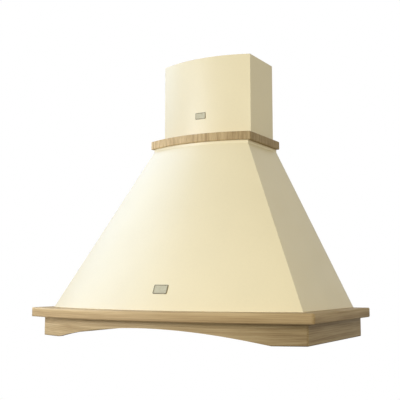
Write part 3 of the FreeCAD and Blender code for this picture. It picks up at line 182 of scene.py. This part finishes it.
def zinc(name, colour, rough):
    """galvanised sheet with its spangle"""
    made = Finish(name, Metallic=1.0)
    spot = made.place()
    flake = made.cells(spot, per_metre=95.0, output="Color")
    level = made.node("SeparateColor", {"Color": flake}).outputs[0]
    cloud = made.noise(spot, per_metre=22.0, detail=4.0)
    tint = made.ramp(made.total((level, 0.45), (cloud, 0.55)),
                     [(0.25, shade(colour, 0.78)), (0.75, colour)])
    gloss = made.span(level, (0.0, 1.0), (rough - 0.12, rough + 0.12))
    skin = made.noise(spot, per_metre=420.0, detail=2.0)
    relief = made.bump(skin, strength=0.05, distance=0.0003)
    return made.set(Base_Color=tint, Roughness=gloss, Normal=relief)


def brushed(name, colour, rough, scratch, along):
    """metal with brush lines along one axis, and faint smudges"""
    made = Finish(name, Metallic=1.0)
    stretched = made.place([BRUSH_LINES_ALONG if axis == along else BRUSH_LINES_ACROSS
                            for axis in "xyz"])
    line = made.noise(stretched, per_metre=1.0, detail=3.0, roughness=0.6)
    smudge = made.noise(made.place(), per_metre=12.0, detail=3.0)
    tint = made.ramp(line, [(0.3, shade(colour, 0.86)), (0.7, colour)])
    gloss = made.math("ADD", made.span(line, (0.3, 0.7), (rough - 0.06, rough + 0.08)),
                      made.span(smudge, (0.4, 0.7), (0.0, 0.06)))
    relief = made.bump(line, strength=scratch, distance=0.0002)
    return made.set(Base_Color=tint, Roughness=gloss, Normal=relief)


def cast(name, colour, rough):
    """a small casting under aged lacquer: darker in patches, a fine sandy skin"""
    made = Finish(name, Metallic=0.2, IOR=1.45)
    spot = made.place()
    cloud = made.noise(spot, per_metre=130.0, detail=4.0, roughness=0.6)
    sand = made.noise(spot, per_metre=1500.0, detail=2.0, roughness=0.6)
    tint = made.ramp(made.total((cloud, 0.75), (sand, 0.25)),
                     [(0.3, shade(colour, 0.82)), (0.7, colour)])
    gloss = made.span(cloud, (0.3, 0.7), (rough + 0.08, rough - 0.05))
    relief = made.bump(sand, strength=0.12, distance=0.0002)
    return made.set(Base_Color=tint, Roughness=gloss, Normal=relief)


def moulded(name, colour, rough, grain=0.2):
    """plastic with a spark eroded grain"""
    made = Finish(name, IOR=1.5)
    spot = made.place()
    pit = made.cells(spot, per_metre=900.0)
    cloud = made.noise(spot, per_metre=30.0, detail=3.0)
    tint = made.ramp(cloud, [(0.3, shade(colour, 0.9)), (0.7, shade(colour, 1.08))])
    gloss = made.span(made.noise(spot, per_metre=60.0, detail=2.0), (0.3, 0.7),
                      (rough - 0.05, rough + 0.05))
    relief = made.bump(pit, strength=grain, distance=0.0002)
    return made.set(Base_Color=tint, Roughness=gloss, Normal=relief)


def frosted(name):
    """a prismatic lens: rows of small domes under a matt skin"""
    made = Finish(name, IOR=1.49, Transmission_Weight=0.55)
    spot = made.place()
    bead = made.cells(spot, per_metre=330.0, randomness=0.0)
    haze = made.noise(spot, per_metre=90.0, detail=3.0)
    tint = made.ramp(haze, [(0.3, (0.84, 0.86, 0.86)), (0.7, (0.93, 0.94, 0.94))])
    gloss = made.span(haze, (0.3, 0.7), (0.32, 0.42))
    relief = made.bump(bead, strength=0.6, distance=0.001)
    return made.set(Base_Color=tint, Roughness=gloss, Normal=relief)


# Wood

DARK_ASH = (0.37, 0.246, 0.115)
MIDDLE_ASH = (0.52, 0.371, 0.185)
LIGHT_ASH = (0.66, 0.492, 0.264)
ASH_PORES = (0.25, 0.154, 0.069)
RINGS_PER_METRE = 190.0
PORES_PER_METRE = (60, 1100, 1100)

# These multiply the wood's tone as painted shade: toward the lower edge of a rail, and on faces
# that face down
FOOT_PAINTED_SHADE = (0.62, 0.56, 0.50)
UNDER_PAINTED_SHADE = (0.27, 0.21, 0.14)


def arc_of(front, side, bow):
    """radius and centre, in plan, of a bowed front board's arc, which bows out by so much
    between the outer faces of its side boards"""
    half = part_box(side)[1][0]
    middle = -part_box(front)[0][1]
    radius = (half ** 2 + bow ** 2) / (2 * bow)
    return radius, radius - middle


def board_axes(made, object_place, arc):
    """places along a board's run, inward from its face and up, bent round the arc if it has one"""
    across, deep, up = made.axes(object_place)
    if not arc:
        return deep, across, up
    radius, centre = arc
    behind = made.math("SUBTRACT", centre, deep)
    run = made.math("MULTIPLY", made.math("ARCTAN2", across, behind), radius)
    reach = made.math("SQRT", made.math("ADD", made.math("MULTIPLY", across, across),
                                        made.math("MULTIPLY", behind, behind)))
    return run, made.math("SUBTRACT", reach, radius), up


def wood(board, arc=None, shift=(0, 0, 0), painted_light_level=1.0, painted_light_falloff=None, bold=0.32, upright=False,
         finer=1.0, shorter=1.0, painted_foot_shade=False, painted_under_shade=False):
    """open grained ash for one board

    A bowed board has an arc. shift picks the board's own piece of the grain, which runs along
    the board or upright. One level scales the whole board's tone, as painted light or shade for a
    side that faces toward or away from the lamps; two places along the run and the tones there
    paint a light that falls off from one end to the other; bold is half the span of the streaks'
    tones. The streaks can be so many times finer and shorter, and painted shade can darken the
    lower edge or the underside.
    """
    made = Finish(f"ash_{board}", IOR=1.42, Specular_IOR_Level=0.25)
    source = made.node("TexCoord", {}).outputs
    run, inward, up = board_axes(made, source["Object"], arc)
    fibre_axis, side_axis = (up, run) if upright else (run, up)
    laid = made.node("CombineXYZ", {"X": fibre_axis, "Y": inward, "Z": side_axis}).outputs[0]
    line = made.node("Mapping", {"Vector": laid, "Location": shift}).outputs[0]

    def stretched(scale):
        return made.node("Mapping", {"Vector": line, "Scale": scale}).outputs[0]

    def streaks(along, over, detail, roughness):
        """noise drawn out along the fibres: so many features in a metre along and over them"""
        close = over * finer
        spot = stretched((along * shorter, close, close))
        return made.noise(spot, 1.0, detail, roughness)

    _, inner, sideways = made.axes(line)
    wander = streaks(2.5, 22.0, 3.0, 0.55)
    growth = made.math("ADD", sideways, made.total((inner, 0.6), (wander, 0.02)))
    season = made.math("FRACT", made.math("MULTIPLY", growth, RINGS_PER_METRE))
    ring = made.ramp(season, [(0.0, grey(0.0)), (0.22, grey(0.75)),
                              (0.75, grey(1.0)), (1.0, grey(0.25))])
    broad = made.span(streaks(3.0, 85.0, 3.0, 0.6), (0.3, 0.7))
    narrow = made.span(streaks(6.0, 210.0, 4.0, 0.6), (0.28, 0.72))
    fibre = made.span(streaks(20.0, 900.0, 3.0, 0.65), (0.25, 0.75))
    tone = made.total((ring, 0.18), (broad, 0.42), (narrow, 0.28), (fibre, 0.12))
    # The level scales the whole tone: painted light on a side facing the lamps, painted shade on
    # one facing away
    tint = made.ramp(tone, [(0.5 - bold, shade(DARK_ASH, painted_light_level)),
                            (0.5, shade(MIDDLE_ASH, painted_light_level)),
                            (0.5 + bold, shade(LIGHT_ASH, painted_light_level))])

    dash = made.cells(stretched(PORES_PER_METRE), 1.0)
    pores = made.math("MULTIPLY", made.span(dash, (0.1, 0.28), (1.0, 0.0)),
                      made.span(season, (0.0, 0.3), (1.0, 0.1)))
    tint = made.blend(made.math("MULTIPLY", pores, 0.6), tint, shade(ASH_PORES, painted_light_level))
    # Painted light: the tone brighter at one end of the run and darker at the other, as the lamps
    # fall off
    if painted_light_falloff:
        tint = made.blend(1.0, tint, made.span(run, *painted_light_falloff), "MULTIPLY")
    # Painted shade: darker toward the rail's lower edge
    if painted_foot_shade:
        low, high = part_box(board)
        foot = made.span(up, (low[2], high[2]), (0.75, 0.0))
        tint = made.blend(foot, tint, FOOT_PAINTED_SHADE, "MULTIPLY")
    # Painted shade on faces that face down
    if painted_under_shade:
        facing = made.axes(source["Normal"])[2]
        under = made.span(facing, (-0.85, -0.35), (1.0, 0.0))
        tint = made.blend(under, tint, UNDER_PAINTED_SHADE, "MULTIPLY")
    lift = made.math("SUBTRACT", made.math("MULTIPLY", tone, 0.5), pores)
    gloss = made.span(tone, (0.0, 1.0), (0.60, 0.48))
    relief = made.bump(lift, strength=0.25, distance=0.0003)
    return made.set(Base_Color=tint, Roughness=gloss, Normal=relief)


MOULDING_ARC = arc_of("moulding_front", "moulding_right", bow=0.088)
BAND_ARC = arc_of("band_front", "band_right", bow=0.0395)
BAND = {"upright": True, "finer": 1.6, "shorter": 5.0, "bold": 0.27}

# The side boards' levels and the fronts' tones along the run are painted light and shade; the
# darker feet and undersides are painted shade
boards = {board: wood(board, **choices) for board, choices in {
    "moulding_front": dict(arc=MOULDING_ARC, painted_light_falloff=((-0.43, 0.40), (1.34, 0.85)),
                           painted_foot_shade=True),
    "moulding_left": dict(shift=(0.31, 0.02, 0.05), painted_light_level=1.15, painted_foot_shade=True),
    "moulding_right": dict(shift=(0.83, 0.07, 0.02), painted_light_level=0.8, painted_foot_shade=True),
    "valance_front": dict(arc=MOULDING_ARC, shift=(0.53, 0.11, 0.09),
                          painted_light_falloff=((-0.40, 0.40), (1.08, 0.57)), bold=0.25, painted_under_shade=True),
    "valance_left": dict(shift=(0.12, 0.05, 0.07), painted_under_shade=True),
    "valance_right": dict(shift=(0.67, 0.03, 0.11), painted_light_level=0.63, bold=0.26,
                          painted_under_shade=True),
    "band_front": dict(arc=BAND_ARC, shift=(0.2, 0.1, 0.3),
                       painted_light_falloff=((-0.17, 0.17), (1.28, 0.72)), **BAND),
    "band_left": dict(shift=(0.4, 0.3, 0.1), painted_light_level=1.15, **BAND),
    "band_right": dict(shift=(0.6, 0.2, 0.5), painted_light_level=0.67, **BAND),
}.items()}


# Finishes of the carried over nodes

badge_rim = cast("badge_rim", (0.20, 0.172, 0.092), 0.45)

# A row has the maker of the finish, the material slot, and what else the maker takes
finishes = {slot: maker(slot, *values) for maker, slot, *values in (
    (cast, "badge_metal", (0.47, 0.42, 0.27), 0.5),
    (paint, "cream_paint", (0.84, 0.735, 0.49), 0.36),
    (paint, "lamp_housing", (0.62, 0.62, 0.60), 0.5),
    (paint, "motor_paint", (0.05, 0.052, 0.055), 0.45, 0.2),
    (zinc, "galvanised", (0.62, 0.63, 0.65), 0.42),
    (zinc, "filter_mesh", (0.56, 0.57, 0.58), 0.45),
    (brushed, "stainless", (0.62, 0.61, 0.60), 0.32, 0.12, "x"),
    (brushed, "filter_aluminium", (0.72, 0.73, 0.74), 0.5, 0.06, "x"),
    (brushed, "steel_wire", (0.72, 0.72, 0.72), 0.2, 0.04, "x"),
    (brushed, "lamp_trim", (0.68, 0.68, 0.68), 0.26, 0.05, "y"),
    (brushed, "shaft_steel", (0.52, 0.52, 0.52), 0.25, 0.05, "x"),
    (brushed, "screw_steel", (0.55, 0.55, 0.53), 0.3, 0.05, "x"),
    (frosted, "lamp_glass"),
    (moulded, "control_plastic", (0.035, 0.035, 0.036), 0.5),
    (moulded, "button_plastic", (0.46, 0.45, 0.43), 0.32, 0.05),
    (moulded, "switch_plastic", (0.05, 0.05, 0.052), 0.55),
    (moulded, "collar_plastic", (0.045, 0.045, 0.048), 0.48),
    (moulded, "flap_plastic", (0.10, 0.10, 0.105), 0.45),
    (moulded, "fan_plastic", (0.07, 0.07, 0.072), 0.42),
    (moulded, "box_plastic", (0.50, 0.50, 0.48), 0.5),
    (moulded, "capacitor_shell", (0.66, 0.66, 0.63), 0.35, 0.05),
    (moulded, "magnet_plastic", (0.04, 0.04, 0.04), 0.55),
)}

slot_of = {row["node"]: row["material_slot"] for row in frame["record"]["subparts"]}
for name, node in nodes.items():
    node.data.materials.clear()
    node.data.materials.append(boards.get(name) or finishes[slot_of[name]])


# Pieces that replace plain solids

def new_piece(name, points, faces, body, stands_for, looks):
    """a closed mesh piece in the row frame's metres; looks are its materials"""
    mesh = bpy.data.meshes.new(name)
    mesh.from_pydata(points, [], faces)
    mesh.validate()
    for look in looks:
        mesh.materials.append(look)
    made = bpy.data.objects.new(name, mesh)
    bpy.context.scene.collection.objects.link(made)
    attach(made, body)
    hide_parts(stands_for)
    return made


def own_axes(node):
    """centre of a flat plate's back, its rightward, upward and outward axes, and its sizes"""
    mesh = nodes[node].data
    facing = {}
    for face in mesh.polygons:
        key = tuple(round(value, 3) for value in face.normal)
        facing[key] = facing.get(key, 0.0) + face.area
    forward = max((key for key in facing if key[1] < 0), key=lambda key: facing[key])
    out = Vector(forward).normalized()
    right = Vector((0, 0, 1)).cross(out).normalized()
    rise = out.cross(right)
    spans = []
    for axis in (right, rise, out):
        reach = [vertex.co.dot(axis) for vertex in mesh.vertices]
        spans.append((min(reach), max(reach)))
    middle = (right * sum(spans[0]) / 2 + rise * sum(spans[1]) / 2 + out * spans[2][0])
    return middle, (right, rise, out), [high - low for low, high in spans]


CORNER_TURNS = 6
SMALLEST_CORNER = 0.0005


def rounded_ring(plate, corner, inset, height):
    """points of a rounded rectangle, so far in from the plate's outline and above its back"""
    middle, (right, rise, out), (wide, tall, _) = plate
    radius = max(corner - inset, SMALLEST_CORNER)
    points = []
    for quarter, (side, level) in enumerate(((1, 1), (-1, 1), (-1, -1), (1, -1))):
        for turn in range(CORNER_TURNS + 1):
            angle = math.radians(90 * (quarter + turn / CORNER_TURNS))
            across = side * (wide / 2 - inset - radius) + radius * math.cos(angle)
            up = level * (tall / 2 - inset - radius) + radius * math.sin(angle)
            points.append(middle + right * across + rise * up + out * height)
    return points


def framed_badge(name, node, corner, rim, field):
    """a blank plate: a raised rim about a sunk field, each a list of points of the plate's
    section, as insets from its outline and heights above its back"""
    plate = own_axes(node)
    points, faces = [], []
    for inset, height in rim + field:
        points += rounded_ring(plate, corner, inset, height)
    ring = 4 * (CORNER_TURNS + 1)
    for first in range(0, len(points) - ring, ring):
        for index in range(ring):
            after = (index + 1) % ring
            faces.append((first + index, first + after,
                          first + ring + after, first + ring + index))
    strips = len(faces)
    faces.append(tuple(range(len(points) - ring, len(points))))
    faces.append(tuple(reversed(range(ring))))
    made = new_piece(name, points, faces, "hood", node,
                     (badge_rim, finishes["badge_metal"]))
    rim_strips = ring * (len(rim) - 1)
    for index, face in enumerate(made.data.polygons):
        face.material_index = int(rim_strips <= index <= strips)
        face.use_smooth = index < strips
    return made


STRAND_WIDTH = 0.0014
STRAND_THICKNESS = 0.0005
STRAND_TWIST = 0.0004
STRAND_PITCH = 0.006
HALF_DIAMOND = 0.006
BOND_OVERLAP = 0.0002
LAYER_LEVEL_SHARES = (0.3, 0.7)
STRAND_CORNERS = ((-1, -1), (1, -1), (1, 1), (-1, 1))


def expanded_metal(name, node, body):
    """two layers of slit and drawn sheet, their strands meeting in bonds"""
    low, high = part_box(node)
    swing = (STRAND_PITCH - STRAND_WIDTH) / 2 + BOND_OVERLAP
    room = high[1] - low[1] - STRAND_WIDTH - 2 * swing
    count = int(room / STRAND_PITCH) + 1
    start = (low[1] + high[1] - (count - 1) * STRAND_PITCH) / 2
    stops = round((high[0] - low[0]) / HALF_DIAMOND)
    points, faces = [], []
    for layer, share in enumerate(LAYER_LEVEL_SHARES):
        middle = low[2] + share * (high[2] - low[2])
        for strand in range(count):
            first = len(points)
            for stop in range(stops + 1):
                lean = 1 if (stop + strand + layer) % 2 else -1
                across = low[0] + (high[0] - low[0]) * stop / stops
                deep = start + strand * STRAND_PITCH + lean * swing
                for side, rise in STRAND_CORNERS:
                    up = rise * STRAND_THICKNESS / 2 + side * STRAND_TWIST * lean
                    points.append((across, deep + side * STRAND_WIDTH / 2, middle + up))
            for stop in range(stops):
                base = first + 4 * stop
                for edge in range(4):
                    after = (edge + 1) % 4
                    faces.append((base + edge, base + after, base + 4 + after, base + 4 + edge))
            last = first + 4 * stops
            faces.append((first, first + 3, first + 2, first + 1))
            faces.append((last, last + 1, last + 2, last + 3))
    return new_piece(name, points, faces, body, node, (finishes["filter_mesh"],))


framed_badge("chimney_plate", "chimney_badge", corner=0.002,
             rim=[(0, 0), (0, 0.0010), (0.0003, 0.00135), (0.0007, 0.0015), (0.0012, 0.0015),
                  (0.0016, 0.00130), (0.0018, 0.0010)],
             field=[(0.0024, 0.0010)])
framed_badge("dome_plate", "dome_badge", corner=0.003,
             rim=[(0, 0), (0, 0.0012), (0.00035, 0.00165), (0.0009, 0.0018), (0.0017, 0.0018),
                  (0.0023, 0.00165), (0.0026, 0.00115)],
             field=[(0.0034, 0.0011), (0.0037, 0.00135), (0.0040, 0.00135), (0.0043, 0.0011)])
for side in ("left", "right"):
    expanded_metal(f"filter_weave_{side}", f"filter_mesh_{side}", f"filter_{side}")


# Floor

FLOOR_RADIUS = 12.0
FLOOR_LEVEL = -3.3
FLOOR_TURNS = 180
FLOOR_GLOW_SHARE = 0.7


def floor_finish():
    """pale and matt, and for the camera mostly as white as the background, shadows kept"""
    made = Finish("floor_pale", Roughness=0.9)
    cloud = made.noise(made.place(), per_metre=2.0, detail=3.0)
    made.set(Base_Color=made.ramp(cloud, [(0.3, grey(0.80)), (0.7, grey(0.84))]))
    seen = made.node("LightPath", {}).outputs["Is Camera Ray"]
    glow = made.node("Emission", {"Color": WHITE, "Strength": 1.0}).outputs[0]
    both = made.node("MixShader", {0: made.math("MULTIPLY", seen, FLOOR_GLOW_SHARE),
                                   1: made.shader.outputs[0], 2: glow})
    made.feed(made.output.inputs["Surface"], both.outputs[0])
    return made.material


def plain_floor():
    angles = [math.radians(360 * turn / FLOOR_TURNS) for turn in range(FLOOR_TURNS)]
    rim = [(FLOOR_RADIUS * math.cos(angle), FLOOR_RADIUS * math.sin(angle), FLOOR_LEVEL)
           for angle in angles]
    mesh = bpy.data.meshes.new("floor")
    mesh.from_pydata(rim, [], [tuple(range(FLOOR_TURNS))])
    mesh.materials.append(floor_finish())
    floor = bpy.data.objects.new("floor", mesh)
    bpy.context.scene.collection.objects.link(floor)


# Light

LAMP_TARGET = Vector((0, -0.2, -0.1))
LAMP_DISTANCE = 3.2


def sky(ambient):
    """white where the camera, gloss or glass looks at it, and the ambient colour as a light"""
    world = bpy.data.worlds.new("studio")
    bpy.context.scene.world = world
    world.use_nodes = True
    made = Nodes(world.node_tree)
    path = made.node("LightPath", {}).outputs
    seen = made.math("MAXIMUM", path["Is Camera Ray"], path["Is Glossy Ray"])
    seen = made.math("MAXIMUM", seen, path["Is Transmission Ray"])
    back = made.node("Background", {"Color": made.blend(seen, ambient, WHITE)})
    made.node("OutputWorld", {"Surface": back.outputs[0]})


def toward(turn, rise):
    """the way from the hood in degrees: turn 0 is to its front, and positive to the right"""
    turn, rise = math.radians(turn), math.radians(rise)
    return Vector((math.sin(turn) * math.cos(rise), -math.cos(turn) * math.cos(rise),
                   math.sin(rise)))


def lamp(name, turn, rise, width, power, colour, only_gloss=False):
    """a round soft box aimed at the hood; one for gloss alone shows as a sheen and gives no
    other light"""
    data = bpy.data.lights.new(name, "AREA")
    data.shape = "DISK"
    data.size = width
    data.energy = power
    data.color = colour
    made = bpy.data.objects.new(name, data)
    bpy.context.scene.collection.objects.link(made)
    made.location = LAMP_TARGET + toward(turn, rise) * LAMP_DISTANCE
    made.rotation_euler = (-toward(turn, rise)).to_track_quat("-Z", "Y").to_euler()
    made.visible_diffuse = not only_gloss


# Camera

CAMERA_PLACE = (1.11326, -2.08892, -0.32553)
CAMERA_TURN = 30.2
CAMERA_RISE = 6.88
CAMERA_ROLL = -0.1
CAMERA_LENS = 66.144
CAMERA_SHIFT = (-0.00828, -0.02015)


def photo_camera():
    """the photograph's view, fitted to the straight edges of the hood"""
    data = bpy.data.cameras.new("camera")
    data.sensor_width = 36.0
    data.lens = CAMERA_LENS
    data.shift_x, data.shift_y = CAMERA_SHIFT
    data.clip_start = 0.05
    data.clip_end = 60.0
    made = bpy.data.objects.new("camera", data)
    bpy.context.scene.collection.objects.link(made)
    made.location = CAMERA_PLACE
    ahead = -toward(CAMERA_TURN, -CAMERA_RISE)
    roll = Matrix.Rotation(math.radians(CAMERA_ROLL), 3, "Z").to_quaternion()
    made.rotation_mode = "QUATERNION"
    made.rotation_quaternion = ahead.to_track_quat("-Z", "Y") @ roll
    bpy.context.scene.camera = made


plain_floor()
sky(ambient=(0.285, 0.277, 0.238))
lamp("key", turn=-35, rise=8, width=1.6, power=65.5, colour=(0.72, 0.804, 1.0))
lamp("sheen", turn=-80, rise=40, width=3.0, power=102, colour=(0.54, 0.71, 1.0), only_gloss=True)
lamp("fill", turn=35, rise=8, width=1.6, power=45.5, colour=(1.0, 0.957, 0.8))
photo_camera()
bpy.context.scene.view_settings.view_transform = "Standard"
